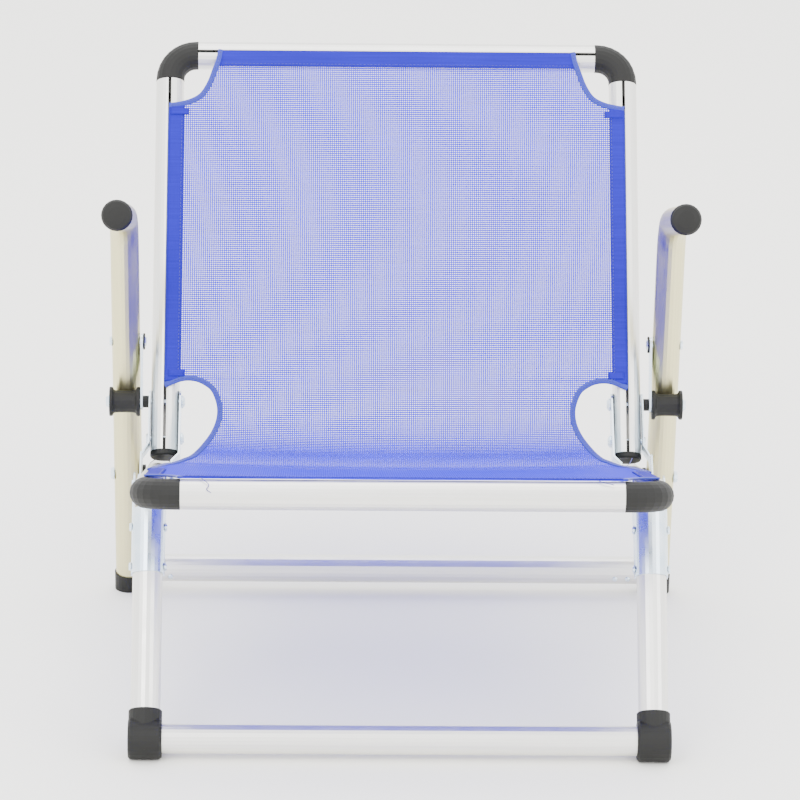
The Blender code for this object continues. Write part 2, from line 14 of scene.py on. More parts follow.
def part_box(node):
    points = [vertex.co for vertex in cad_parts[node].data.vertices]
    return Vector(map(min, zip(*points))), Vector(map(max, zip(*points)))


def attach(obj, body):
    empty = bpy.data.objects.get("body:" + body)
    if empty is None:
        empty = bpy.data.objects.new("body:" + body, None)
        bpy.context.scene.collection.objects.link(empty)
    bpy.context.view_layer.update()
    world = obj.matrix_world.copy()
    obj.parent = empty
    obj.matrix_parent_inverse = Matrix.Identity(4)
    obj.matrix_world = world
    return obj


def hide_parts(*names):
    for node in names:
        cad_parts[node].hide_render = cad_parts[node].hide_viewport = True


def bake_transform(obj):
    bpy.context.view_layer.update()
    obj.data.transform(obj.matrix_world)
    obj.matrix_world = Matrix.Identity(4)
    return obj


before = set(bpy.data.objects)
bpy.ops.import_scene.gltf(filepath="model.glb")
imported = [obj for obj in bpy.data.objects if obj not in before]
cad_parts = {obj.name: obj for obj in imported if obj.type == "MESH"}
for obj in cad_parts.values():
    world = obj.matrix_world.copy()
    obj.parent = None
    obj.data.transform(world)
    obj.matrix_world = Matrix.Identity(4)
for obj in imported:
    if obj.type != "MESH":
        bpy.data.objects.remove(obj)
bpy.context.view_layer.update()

bl_info = {
    "name": "Beach armchair looks",
    "version": (1, 0, 0),
    "blender": (4, 5, 0),
    "location": "View3D > Sidebar > Beach chair",
    "description": "Builds the sling, its sewing and the finishes of a folding beach armchair",
    "category": "Object",
}

SHIFT = -0.2859                            # the front foot's line stands at Y = SHIFT


def unit(y, z):
    v = np.array([y, z], float)
    return v / np.linalg.norm(v)


# the frame's lines in the side view, (Y, Z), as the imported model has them
SEAT_AT = np.array([0.0056 + SHIFT, 0.257])
SEAT_WAY = unit(0.95630, -0.29237)
SEAT_UP = np.array([-SEAT_WAY[1], SEAT_WAY[0]])
SHAFT_AT = np.array([0.3737 + SHIFT, 0.222])
BACK_WAY = unit(0.55919, 0.82904)
BACK_OUT = np.array([-BACK_WAY[1], BACK_WAY[0]])
ARM_AT = np.array([0.415 + SHIFT, 0.13183])
ARM_WAY = unit(-0.17, 0.98544)
LEG_WAY = unit(0.55194, 0.83389)
SEAT_X, BACK_X = 0.236, 0.229              # half spacing of the seat's and the back's side tubes
TOP_T = 0.364                              # shaft to the top tube, up the back
LIFT = 0.0151                              # middle of the cloth above the tubes' axes
BEND = 0.070                               # radius of the sling where seat turns to back
HEM_LIFT = 0.0010                          # middle of a hem above the middle of the cloth
TAB_LIFT = 0.0019                          # a tab lies on its hem
SEAM_LIFT = 0.0017                         # a stitch on a hem
TAPE_SEAM_LIFT = 0.0019                    # a stitch on a binding
CORD_AT = 0.0131                           # middle of a hem's cord above the tube's axis
THREAD_RADIUS = 0.00042                    # of a stitch
SMALLEST = 1e-6                            # points closer than this are one


# ---- properties -----------------------------------------------------------------------------
class ClothSettings(bpy.types.PropertyGroup):
    """Sizes and colours of the sling."""
    thread_pitch: FloatProperty(name="Thread pitch",
                                description="Distance between threads of the open weave",
                                default=0.0021, min=0.0008, max=0.006, unit="LENGTH")
    openness: FloatProperty(name="Openness", description="Width of a hole as a share of the pitch",
                            default=0.53, min=0.2, max=0.9)
    seat_sag: FloatProperty(name="Seat sag", description="How far the seat hangs between its tubes",
                            default=0.004, min=0.0, max=0.01, unit="LENGTH")
    hem_width: FloatProperty(name="Hem width", description="Width of the doubled edge beside the tubes",
                             default=0.0150, min=0.006, max=0.03, unit="LENGTH")
    tape_width: FloatProperty(name="Tape width", description="Width of the binding on the cut-outs",
                              default=0.0056, min=0.003, max=0.012, unit="LENGTH")
    mesh_colour: StringProperty(name="Mesh colour",
                                description="sRGB hex of the sling's threads", default="#2a1edc")
    hem_colour: StringProperty(name="Hem colour",
                               description="sRGB hex of the doubled cloth", default="#1a0a9c")
    tape_colour: StringProperty(name="Tape colour",
                                description="sRGB hex of the binding", default="#1626a4")


class FrameSettings(bpy.types.PropertyGroup):
    """Colours of the frame's finishes."""
    tube_colour: StringProperty(name="Tube colour",
                                description="sRGB hex of the anodised tube", default="#e9e8e4")
    zinc_colour: StringProperty(name="Zinc colour",
                                description="sRGB hex of the zinc plate", default="#e2edf6")
    plastic_colour: StringProperty(name="Plastic colour",
                                   description="sRGB hex of the mouldings", default="#0e0e0d")


class StageSettings(bpy.types.PropertyGroup):
    """Floor, lights and camera."""
    floor_colour: StringProperty(name="Floor colour",
                                 description="sRGB hex of the floor", default="#fbfaf6")
    lens: FloatProperty(name="Lens",
                        description="Camera lens in millimetres", default=198.7, min=20, max=300)
    elevation: FloatProperty(name="Elevation", description="Camera height angle in degrees",
                             default=18.555)


# ---- small tools ----------------------------------------------------------------------------
def linear(code, alpha=1.0):
    """An sRGB hex colour as linear values: each channel goes through the sRGB curve."""
    code = code.lstrip("#")
    srgb = [int(code[i:i + 2], 16) / 255 for i in (0, 2, 4)]
    return tuple(c / 12.92 if c <= 0.04045 else ((c + 0.055) / 1.055) ** 2.4 for c in srgb) + (alpha,)


def add_node(tree, kind, values=None, links=None, **settings):
    """Adds one node, sets its fields, its unlinked inputs and the links into it."""
    made = tree.nodes.new(kind)
    for field, value in settings.items():
        setattr(made, field, value)
    for key, value in (values or {}).items():
        made.inputs[key].default_value = value
    for key, socket in (links or {}).items():
        tree.links.new(socket, made.inputs[key])
    return made


def new_material(name):
    """A material with only its output; returns it and its node tree."""
    made = bpy.data.materials.new(name)
    made.use_nodes = True
    made.node_tree.nodes.clear()
    return made, made.node_tree


def mesh_piece(name, points, faces, material, uv=None, smooth=True):
    """A mesh object at the origin from an (n, 3) array and a list or array of faces."""
    mesh = bpy.data.meshes.new(name)
    faces = faces if isinstance(faces, list) else faces.tolist()
    mesh.from_pydata(np.asarray(points).reshape(-1, 3).tolist(), [], faces)
    if uv is not None:
        layer = mesh.uv_layers.new(name="cloth")
        loops = np.empty(len(mesh.loops), np.int32)
        mesh.loops.foreach_get("vertex_index", loops)
        layer.data.foreach_set("uv", np.asarray(uv).reshape(-1, 2)[loops].astype(np.float32).ravel())
    mesh.polygons.foreach_set("use_smooth", [smooth] * len(mesh.polygons))
    mesh.materials.append(material)
    made = bpy.data.objects.new(name, mesh)
    bpy.context.scene.collection.objects.link(made)
    return made


def grid_faces(rows, columns, wrap=False):
    """Quads of a grid of rows x columns points, row after row; wrap joins the last column to the first."""
    r, c = np.meshgrid(np.arange(rows - 1), np.arange(columns if wrap else columns - 1), indexing="ij")
    nxt = (c + 1) % columns
    return np.stack([r * columns + c, r * columns + nxt, (r + 1) * columns + nxt, (r + 1) * columns + c],
                    axis=-1).reshape(-1, 4)


def carried(points, side, up, profile):
    """A closed profile of (m, 2) offsets carried along n points: point + side * p0 + up * p1.

    Returns the vertices, the wall's quads and the two end fans' faces as one closed skin."""
    n, m = len(points), len(profile)
    ring = (points[:, None, :] + side[:, None, :] * profile[None, :, 0, None]
            + up[:, None, :] * profile[None, :, 1, None])
    faces = grid_faces(n, m, wrap=True).tolist()
    verts = np.concatenate([ring.reshape(-1, 3), points[:1], points[-1:]])
    first, last = n * m, n * m + 1
    for j in range(m):
        k = (j + 1) % m
        faces.append([first, k, j])
        faces.append([last, (n - 1) * m + j, (n - 1) * m + k])
    return verts, faces


def facing_out(piece):
    """Turns a closed skin's faces outwards, after merging its doubles."""
    work = bmesh.new()
    work.from_mesh(piece.data)
    bmesh.ops.remove_doubles(work, verts=work.verts, dist=SMALLEST)
    bmesh.ops.recalc_face_normals(work, faces=work.faces)
    work.to_mesh(piece.data)
    work.free()
    return piece


def oval(width, height, count=14, power=2.6):
    """A rounded-rectangle profile: a super-ellipse of the given width and height."""
    a = np.linspace(0, 2 * np.pi, count, endpoint=False)
    c, s = np.cos(a), np.sin(a)
    return np.stack([np.sign(c) * np.abs(c) ** (2 / power) * width / 2,
                     np.sign(s) * np.abs(s) ** (2 / power) * height / 2], axis=1)


def smooth_line(points, count):
    """A Catmull-Rom curve through (k, d) control points, sampled evenly by length."""
    p = np.asarray(points, float)
    p = np.concatenate([2 * p[:1] - p[1:2], p, 2 * p[-1:] - p[-2:-1]])
    t = np.linspace(0, 1, 24, endpoint=False)[:, None, None]
    a, b, c, d = p[None, :-3], p[None, 1:-2], p[None, 2:-1], p[None, 3:]
    bent, twisted = 2 * a - 5 * b + 4 * c - d, 3 * b - a - 3 * c + d
    q = 0.5 * (2 * b + (c - a) * t + bent * t ** 2 + twisted * t ** 3)
    line = np.concatenate([np.swapaxes(q, 0, 1).reshape(-1, p.shape[1]), p[-2:-1]])
    along = np.concatenate([[0], np.cumsum(np.linalg.norm(np.diff(line, axis=0), axis=1))])
    at = np.linspace(0, along[-1], count)
    return np.stack([np.interp(at, along, line[:, i]) for i in range(p.shape[1])], axis=1)


# ---- the sling's surface --------------------------------------------------------------------
TURN = math.acos(float(SEAT_WAY @ BACK_WAY))
_reach = BEND * math.tan(TURN / 2)
_gap = SHAFT_AT + BACK_OUT * LIFT - (SEAT_AT + SEAT_UP * LIFT)
_cross = float((_gap[0] * BACK_WAY[1] - _gap[1] * BACK_WAY[0])
               / (SEAT_WAY[0] * BACK_WAY[1] - SEAT_WAY[1] * BACK_WAY[0]))
_corner = SEAT_AT + SEAT_UP * LIFT + SEAT_WAY * _cross
_corner_t = float((_corner - SHAFT_AT - BACK_OUT * LIFT) @ BACK_WAY)
SEAT_START = -0.004
SEAT_END = _cross - _reach
BACK_START = _corner_t + _reach
A_BEND = SEAT_END - SEAT_START
A_BACK = A_BEND + BEND * TURN
A_TOP = A_BACK + TOP_T - BACK_START


def at_seat(s):
    """Length along the sling of a point s behind the front tube."""
    return s - SEAT_START


def at_back(t):
    """Length along the sling of a point t above the back's shaft."""
    return A_BACK + t - BACK_START


def sling_line(a):
    """The sling's side-view line by length a: straight seat, an arc of radius BEND, straight back.

    Returns the (Y, Z) points, tangents and upward or forward normals."""
    a = np.asarray(a, float)[..., None]
    seat = SEAT_AT + SEAT_UP * LIFT + SEAT_WAY * (SEAT_START + a)
    centre = SEAT_AT + SEAT_UP * (LIFT + BEND) + SEAT_WAY * SEAT_END
    phi = np.clip((a - A_BEND) / BEND, 0, TURN)
    arc = centre + BEND * (np.sin(phi) * SEAT_WAY - np.cos(phi) * SEAT_UP)
    back = SHAFT_AT + BACK_OUT * LIFT + BACK_WAY * (BACK_START + a - A_BACK)
    point = np.where(a < A_BEND, seat, np.where(a < A_BACK, arc, back))
    tangent = np.cos(phi) * SEAT_WAY + np.sin(phi) * SEAT_UP
    normal = np.cos(phi) * SEAT_UP - np.sin(phi) * SEAT_WAY
    return point, tangent, normal


# the cut-outs' edges as (half width, length along the sling)
CREASE_CUT = smooth_line([
    (0.2365, at_seat(0.160)), (0.2340, at_seat(0.190)), (0.2295, at_seat(0.235)), (0.2240, at_seat(0.2725)),
    (0.2095, A_BEND + 0.0204), (0.2005, A_BEND + 0.0300), (0.1883, A_BEND + 0.0510),
    (0.1800, A_BEND + 0.0670), (0.1752, A_BEND + 0.0815), (0.1748, at_back(-0.0080)),
    (0.1800, at_back(0.0070)), (0.1870, at_back(0.0140)),
    (0.1980, at_back(0.0192)), (0.2120, at_back(0.0195)), (0.2295, at_back(0.0130))], 90)
TOP_CUT = smooth_line([
    (0.2295, at_back(TOP_T - 0.0590)), (0.2200, at_back(TOP_T - 0.0577)), (0.2090, at_back(TOP_T - 0.0548)),
    (0.1995, at_back(TOP_T - 0.0500)), (0.1935, at_back(TOP_T - 0.0435)), (0.1880, at_back(TOP_T - 0.0330)),
    (0.1840, at_back(TOP_T - 0.0215)), (0.1800, at_back(TOP_T - 0.0100)),
    (0.1778, at_back(TOP_T + 0.0010))], 50)
FRONT_CUT = smooth_line([
    (0.2030, 0.0), (0.2050, at_seat(0.010)), (0.2110, at_seat(0.022)), (0.2210, at_seat(0.031)),
    (0.2365, at_seat(0.036))], 24)


def half_width(a):
    """The sling's half width by length: straight hems between three pairs of cut-outs."""
    knots = []
    for x, b in FRONT_CUT:
        knots.append((b, x))
    knots.append((at_seat(0.0365), 0.2360))
    knots.append((at_seat(0.1675), 0.2360))
    rising = CREASE_CUT[:np.argmax(CREASE_CUT[:, 1]) + 1]
    knots += [(b, x) for x, b in rising[1:]]
    knots.append((rising[-1, 1] + 0.0004, BACK_X))
    knots.append((TOP_CUT[0, 1] - 0.0004, BACK_X))
    knots += [(b, x) for x, b in TOP_CUT[1:]]
    knots = np.array(sorted(knots))
    return np.interp(a, knots[:, 0], knots[:, 1])


def sag(x, a, depth):
    """How far the cloth hangs below its straight line: a parabola across, fading to nothing at the ends."""
    w = half_width(a)
    across = np.clip(1 - (x / w) ** 2, 0, 1)
    seat = np.interp(a, [0.0, 0.06, A_BEND, A_BACK, A_BACK + 0.12, A_TOP - 0.05, A_TOP],
                     [0.0, 0.75, 1.0, 0.8, 0.55, 0.2, 0.0])
    return depth * across * seat


def on_sling(x, a, lift=0.0, depth=None):
    """World points of the cloth at (x, a), lifted along its normal; also the tangents and normals."""
    depth = bpy.context.scene.beach_cloth.seat_sag if depth is None else depth
    point, tangent, normal = sling_line(a)
    h = lift - sag(x, a, depth)
    yz = point + normal * np.asarray(h)[..., None]
    x = np.broadcast_to(x, yz.shape[:-1])
    full = np.concatenate([x[..., None], yz], axis=-1)
    zero = np.zeros(x.shape + (1,))
    return full, np.concatenate([zero, tangent], -1), np.concatenate([zero, normal], -1)


def across_hinge(piece):
    """Bakes a piece's placement into its mesh; the piece is parented to neither the seat nor the back."""
    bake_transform(piece)


# ---- materials ------------------------------------------------------------------------------
def shaded(colour, share):
    """A linear colour with each channel times share, no higher than 1."""
    return tuple(min(1.0, c * share) for c in colour[:3]) + (1.0,)


def two_tone(tree, factor, dark, light, start=0.0, end=1.0):
    """A ramp from dark to light over factor; returns its colour socket."""
    ramp = add_node(tree, "ShaderNodeValToRGB", links={"Fac": factor})
    for stop, place, colour in zip(ramp.color_ramp.elements, (start, end), (dark, light)):
        stop.position = place
        stop.color = colour
    return ramp.outputs[0]


def noise(tree, vector, scale, detail, roughness=0.5):
    """A noise texture's factor over a vector socket."""
    made = add_node(tree, "ShaderNodeTexNoise", {"Scale": scale, "Detail": detail, "Roughness": roughness},
                    {"Vector": vector})
    return made.outputs[0]


def rescaled(tree, value, low, high, start=0.3, end=0.7, **settings):
    """Value from start..end brought to low..high."""
    made = add_node(tree, "ShaderNodeMapRange",
                    {"From Min": start, "From Max": end, "To Min": low, "To Max": high},
                    {"Value": value}, **settings)
    return made.outputs[0]


def reckoned(tree, operation, first, second):
    """A maths node of two inputs, each a number or a socket."""
    values, links = {}, {}
    for place, given in enumerate((first, second)):
        if isinstance(given, (int, float)):
            values[place] = given
        else:
            links[place] = given
    return add_node(tree, "ShaderNodeMath", values, links, operation=operation).outputs[0]


def relief(tree, height, strength, distance, invert=False):
    """A bump from a height socket."""
    made = add_node(tree, "ShaderNodeBump", {"Strength": strength, "Distance": distance},
                    {"Height": height}, invert=invert)
    return made.outputs[0]


def surface(tree, values, links):
    """The shader and its output."""
    shader = add_node(tree, "ShaderNodeBsdfPrincipled", values, links)
    add_node(tree, "ShaderNodeOutputMaterial", links={"Surface": shader.outputs[0]})


def drawn_aluminium(name, turn, along="Z", warm_reflection_share=0.0):
    """Anodised aluminium tube, drawn through a die: satin, with faint lines along its length.

    The coordinates are turned so that the chosen axis runs along the tube. The lines are about
    1.4 mm apart across it, coarser than real drawing marks so that they show. The warm reflection
    share yellows the base colour: a painted warm reflection."""
    made, tree = new_material(name)
    coords = add_node(tree, "ShaderNodeTexCoord").outputs["Object"]
    across, lengthwise = 700.0, 6.0
    fine = {"Z": (across, across, lengthwise), "X": (lengthwise, across, across)}[along]
    turned_to = add_node(tree, "ShaderNodeMapping", {"Rotation": (turn, 0.0, 0.0)}, {"Vector": coords})
    stretched = add_node(tree, "ShaderNodeMapping", {"Scale": fine}, {"Vector": turned_to.outputs[0]})
    marks = noise(tree, stretched.outputs[0], 1.0, 3.0, 0.6)
    handling = noise(tree, coords, 38.0, 5.0, 0.65)
    base = linear(bpy.context.scene.beach_frame.tube_colour)
    # painted reflection: the base loses this tint times the share, so the tube looks as if it reflects warm
    # light
    warm_reflection_tint = (0.10, 0.13, 0.32)
    base = tuple(c * (1 - y * warm_reflection_share) for c, y in zip(base, warm_reflection_tint)) + (1.0,)
    surface(tree, {"Metallic": 1.0},
            {"Base Color": two_tone(tree, marks, shaded(base, 0.93), base, 0.30, 0.62),
             "Roughness": rescaled(tree, handling, 0.33, 0.43),
             "Normal": relief(tree, marks, 0.10, 0.0001)})
    return made


def zinc_plate(name):
    """Pressed steel, electroplated with zinc and blue-passivated: bright, cool, faintly clouded."""
    made, tree = new_material(name)
    coords = add_node(tree, "ShaderNodeTexCoord").outputs["Object"]
    cloud = noise(tree, coords, 60.0, 3.0, 0.5)
    base = linear(bpy.context.scene.beach_frame.zinc_colour)
    clouded = (base[0] * 0.86, base[1] * 0.91, base[2] * 0.96, 1.0)
    surface(tree, {"Metallic": 1.0},
            {"Base Color": two_tone(tree, cloud, clouded, base, 0.35, 0.65),
             "Roughness": rescaled(tree, cloud, 0.24, 0.32),
             "Normal": relief(tree, cloud, 0.02, 0.0001)})
    return made


def moulded_nylon(name):
    """Injection-moulded glass-filled nylon: matt charcoal with a spark-eroded grain and light scuffs.

    The grain is drawn at about 0.9 mm, coarser than the mould's, so that it shows."""
    made, tree = new_material(name)
    coords = add_node(tree, "ShaderNodeTexCoord").outputs["Object"]
    grain = noise(tree, coords, 1100.0, 2.0, 0.7)
    scuff = noise(tree, coords, 70.0, 6.0, 0.75)
    base = linear(bpy.context.scene.beach_frame.plastic_colour)
    surface(tree, {"Metallic": 0.0, "IOR": 1.52, "Specular IOR Level": 0.28},
            {"Base Color": two_tone(tree, scuff, base, shaded(base, 1.9), 0.40, 0.78),
             "Roughness": rescaled(tree, scuff, 0.50, 0.68),
             "Normal": relief(tree, grain, 0.25, 0.0002)})
    return made


def woven_sling(name, code, open_share, density=1.0):
    """PVC-coated polyester yarn woven as an open grid and heat-set.

    The UV map is in metres, so a thread repeats at the pitch both ways; a hole shows where both
    directions are between threads. The pitch is about twice the real one so that the grid shows."""
    made, tree = new_material(name)
    pitch = bpy.context.scene.beach_cloth.thread_pitch / density
    coords = add_node(tree, "ShaderNodeUVMap", uv_map="cloth").outputs[0]
    parts = add_node(tree, "ShaderNodeSeparateXYZ", links={"Vector": coords})
    across = reckoned(tree, "PINGPONG", parts.outputs[0], pitch / 2)
    along = reckoned(tree, "PINGPONG", parts.outputs[1], pitch / 2)
    height = reckoned(tree, "MINIMUM", across, along)
    streak_map = add_node(tree, "ShaderNodeMapping", {"Scale": (12.0, 420.0, 1.0)}, {"Vector": coords})
    streak = noise(tree, streak_map.outputs[0], 1.0, 3.0)
    base = linear(code)
    links = {"Base Color": two_tone(tree, streak, shaded(base, 0.80), shaded(base, 1.15), 0.25, 0.75),
             "Normal": relief(tree, height, 0.6, 0.4, invert=True)}
    if open_share > 0:
        far = pitch / 2 * (1 - open_share)
        soft = pitch * 0.04
        edge = {"start": far - soft, "end": far + soft, "interpolation_type": "SMOOTHSTEP"}
        hole = reckoned(tree, "MULTIPLY", rescaled(tree, across, 0.0, 1.0, **edge),
                        rescaled(tree, along, 0.0, 1.0, **edge))
        # the seat's holes are drawn at 0.3 of the back's, for the height of the threads from low in front
        share = rescaled(tree, parts.outputs[1], 0.30, 1.0, A_BEND - 0.01, A_BEND + 0.06)
        links["Alpha"] = reckoned(tree, "SUBTRACT", 1.0, reckoned(tree, "MULTIPLY", hole, share))
    surface(tree, {"Roughness": 0.62, "IOR": 1.45, "Specular IOR Level": 0.18}, links)
    return made


def sewn_tape(name, code, rib):
    """Woven polyester tape: fine ribs across it, soft sheen. The ribs repeat at rib metres."""
    made, tree = new_material(name)
    coords = add_node(tree, "ShaderNodeUVMap", uv_map="cloth").outputs[0]
    parts = add_node(tree, "ShaderNodeSeparateXYZ", links={"Vector": coords})
    ribs = reckoned(tree, "PINGPONG", parts.outputs[1], rib / 2)
    shade = rescaled(tree, ribs, 0.0, 1.0, 0.0, rib / 2)
    base = linear(code)
    surface(tree, {"Roughness": 0.6, "IOR": 1.5, "Sheen Weight": 0.3, "Sheen Roughness": 0.4},
            {"Base Color": two_tone(tree, shade, shaded(base, 0.72), base),
             "Normal": relief(tree, ribs, 0.5, 0.5)})
    return made


def plain_thread(name, code):
    """Bonded polyester sewing thread: smooth filaments with a soft gloss."""
    made, tree = new_material(name)
    coords = add_node(tree, "ShaderNodeTexCoord").outputs["Object"]
    base = linear(code)
    surface(tree, {"Roughness": 0.45, "Sheen Weight": 0.2},
            {"Base Color": two_tone(tree, noise(tree, coords, 2500.0, 1.0), shaded(base, 0.7), base)})
    return made


def backdrop_paint(name, code):
    """Matt studio paint: plain, pale, almost no gloss, with a faint roller mottle."""
    made, tree = new_material(name)
    coords = add_node(tree, "ShaderNodeTexCoord").outputs["Object"]
    base = linear(code)
    surface(tree, {"Roughness": 0.9, "Specular IOR Level": 0.1},
            {"Base Color": two_tone(tree, noise(tree, coords, 3.0, 2.0), shaded(base, 0.985), base)})
    return made


MATERIALS = {}


def finish_of(name, maker, *facts):
    """Makes a material once and hands the same one out after that."""
    if name not in MATERIALS:
        MATERIALS[name] = maker(name, *facts)
    return MATERIALS[name]


# ---- operators ------------------------------------------------------------------------------
class BEACH_OT_frame(bpy.types.Operator):
    """Give every tube, bracket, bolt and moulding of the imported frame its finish."""
    bl_idname = "beach.frame"
    bl_label = "Dress the frame"

    def execute(self, context):
        seat_turn = math.pi / 2 - math.atan2(SEAT_WAY[1], SEAT_WAY[0])
        back_turn = math.pi / 2 - math.atan2(BACK_WAY[1], BACK_WAY[0])
        arm_turn = math.pi / 2 - math.atan2(ARM_WAY[1], ARM_WAY[0])
        leg_turn = math.pi / 2 - math.atan2(LEG_WAY[1], LEG_WAY[0])
        plastic = finish_of("moulded_nylon_charcoal", moulded_nylon)
        zinc = finish_of("zinc_plated_pressed_steel", zinc_plate)
        cross = finish_of("anodised_aluminium_cross_tube", drawn_aluminium, 0.0, "X")
        for name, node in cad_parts.items():
            if "fabric" in name:
                continue
            metal = None
            if name.startswith("seat_side_tube"):
                metal = finish_of("anodised_aluminium_seat_tube", drawn_aluminium, seat_turn)
            elif name.startswith("back_side_tube"):
                metal = finish_of("anodised_aluminium_back_tube", drawn_aluminium, back_turn)
            elif name.startswith("arm_tube"):
                # the arm tube's base colour carries a painted warm reflection
                metal = finish_of("anodised_aluminium_arm_tube", drawn_aluminium, arm_turn, "Z", 1.6)
            elif name.startswith("leg_tube"):
                metal = finish_of("anodised_aluminium_leg_tube", drawn_aluminium, leg_turn)
            elif name in ("seat_front_tube", "back_top_tube", "rear_cross_tube", "leg_cross_tube"):
                metal = cross
            elif any(k in name for k in ("bolt", "rivet", "plate", "bracket", "strip")):
                metal = zinc
            node.data.materials.clear()
            node.data.materials.append(metal or plastic)
        return {"FINISHED"}


class BEACH_OT_sling(bpy.types.Operator):
    """Weave the one-piece sling from the front tube's channel over the crease to the top tube."""
    bl_idname = "beach.sling"
    bl_label = "Make the sling"

    def execute(self, context):
        cloth = context.scene.beach_cloth
        even = np.arange(0.0, A_TOP, 0.004)
        near = []
        for cut in (FRONT_CUT, CREASE_CUT[-45:], TOP_CUT):
            near.append(np.arange(cut[:, 1].min() - 0.001, min(A_TOP, cut[:, 1].max() + 0.001), 0.0008))
        a = np.unique(np.round(np.concatenate([even, *near, [A_TOP]]), 5))
        a = a[(a >= 0) & (a <= A_TOP)]
        u = np.sin(np.linspace(-np.pi / 2, np.pi / 2, 61)) * 0.35 + np.linspace(-1, 1, 61) * 0.65
        w = half_width(a)
        x = u[None, :] * w[:, None]
        aa = np.broadcast_to(a[:, None], x.shape)
        points, _, _ = on_sling(x, aa)
        uv = np.stack([x + 0.3, aa], -1)
        mesh = finish_of("woven_open_mesh_blue", woven_sling, cloth.mesh_colour, cloth.openness)
        piece = mesh_piece("sling_mesh", points, grid_faces(len(a), len(u)), mesh, uv)
        thick = piece.modifiers.new("cloth_thickness", "SOLIDIFY")
        thick.thickness = 0.0008
        thick.offset = 0.0
        across_hinge(piece)
        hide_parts("seat_fabric", "back_fabric")
        return {"FINISHED"}


def hem_strip(name, x_range, a_range, lift, body, rows=60, columns=6, thickness=0.0009):
    """A doubled strip of cloth on the sling: an even grid over (x, a), lifted and given a thickness."""
    cloth = bpy.context.scene.beach_cloth
    x, a = np.meshgrid(np.linspace(*x_range, columns), np.linspace(*a_range, rows))
    edge = np.minimum(np.abs(x - x_range[0]), np.abs(x - x_range[1]))
    puff = 0.0003 * np.clip(edge / 0.003, 0, 1)
    points, _, _ = on_sling(x, a, lift + puff)
    uv = np.stack([x + 0.3, a], -1)
    fabric = finish_of("woven_doubled_hem_blue", woven_sling, cloth.hem_colour, 0.0, 1.4)
    faces = grid_faces(rows, columns)
    if x_range[1] < x_range[0]:
        faces = faces[:, ::-1]
    piece = mesh_piece(name, points, faces, fabric, uv)
    thick = piece.modifiers.new("doubled_cloth", "SOLIDIFY")
    thick.thickness = thickness
    thick.offset = 0.0
    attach(piece, body)
    return piece


class BEACH_OT_hems(bpy.types.Operator):
    """Lay the doubled hems beside the tubes and along the front and top edges."""
    bl_idname = "beach.hems"
    bl_label = "Make the hems"

    def execute(self, context):
        cloth = context.scene.beach_cloth
        wide = cloth.hem_width
        low, high = at_back(0.0168), at_back(TOP_T - 0.0592)
        for side, sign in (("left", 1.0), ("right", -1.0)):
            back_in, back_out = BACK_X - wide, BACK_X
            hem_strip(f"back_side_hem_{side}", (sign * back_in, sign * back_out), (low, high),
                                  HEM_LIFT, "back", 90)
            hem_strip(f"seat_side_hem_{side}", (sign * (SEAT_X - wide), sign * SEAT_X),
                                  (at_seat(0.037), at_seat(0.166)), HEM_LIFT, "seat", 40)
            hem_strip(f"back_hem_tab_low_{side}",
                                  (sign * (back_in - 0.004), sign * (back_out - 0.003)),
                                  (low + 0.0050, low + 0.0115), TAB_LIFT, "back", 6, 6, 0.0010)
            hem_strip(f"back_hem_tab_high_{side}",
                                  (sign * (back_in - 0.005), sign * (back_out - 0.001)),
                                  (high - 0.0095, high - 0.0030), TAB_LIFT, "back", 6, 6, 0.0010)
        hem_strip("top_hem", (-0.1790, 0.1790), (at_back(TOP_T - 0.0165), A_TOP),
                              HEM_LIFT, "back", 8, 60)
        hem_strip("front_hem", (-0.2025, 0.2025), (0.0005, at_seat(0.0145)),
                              HEM_LIFT, "seat", 8, 60)
        return {"FINISHED"}


def tape_along(name, cut, sign, width, thick, lift=0.0006):
    """Binding tape folded over an edge: a super-ellipse profile carried along the cut-out's line."""
    cloth = bpy.context.scene.beach_cloth
    x = sign * cut[:, 0]
    points, _, normal = on_sling(x, cut[:, 1], lift)
    tangent = np.gradient(points, axis=0)
    tangent /= np.linalg.norm(tangent, axis=1, keepdims=True)
    side = np.cross(tangent, normal)
    side /= np.linalg.norm(side, axis=1, keepdims=True)
    up = np.cross(side, tangent)
    profile = oval(width, thick)
    verts, faces = carried(points, side, up, profile)
    along = np.concatenate([[0], np.cumsum(np.linalg.norm(np.diff(points, axis=0), axis=1))])
    ring = np.linspace(0, width * 2, len(profile))
    uv = np.stack(np.broadcast_arrays(ring[None, :], along[:, None]), -1).reshape(-1, 2)
    uv = np.concatenate([uv, [[0, 0]], [[0, along[-1]]]])
    tape = finish_of("woven_binding_tape_blue", sewn_tape, cloth.tape_colour, 0.0012)
    piece = mesh_piece(name, verts, faces, tape, uv)
    facing_out(piece)
    return piece


class BEACH_OT_bindings(bpy.types.Operator):
    """Bind the curved cut-outs at the top corners, the crease and the seat's front corners with tape."""
    bl_idname = "beach.bindings"
    bl_label = "Make the bindings"

    def execute(self, context):
        cloth = context.scene.beach_cloth
        for side, sign in (("left", 1.0), ("right", -1.0)):
            piece = tape_along(f"crease_binding_{side}", CREASE_CUT, sign, cloth.tape_width, 0.0026)
            across_hinge(piece)
            piece = tape_along(f"top_binding_{side}", TOP_CUT, sign, cloth.tape_width, 0.0026)
            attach(piece, "back")
            piece = tape_along(f"front_binding_{side}", FRONT_CUT, sign, cloth.tape_width, 0.0024)
            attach(piece, "seat")
        return {"FINISHED"}


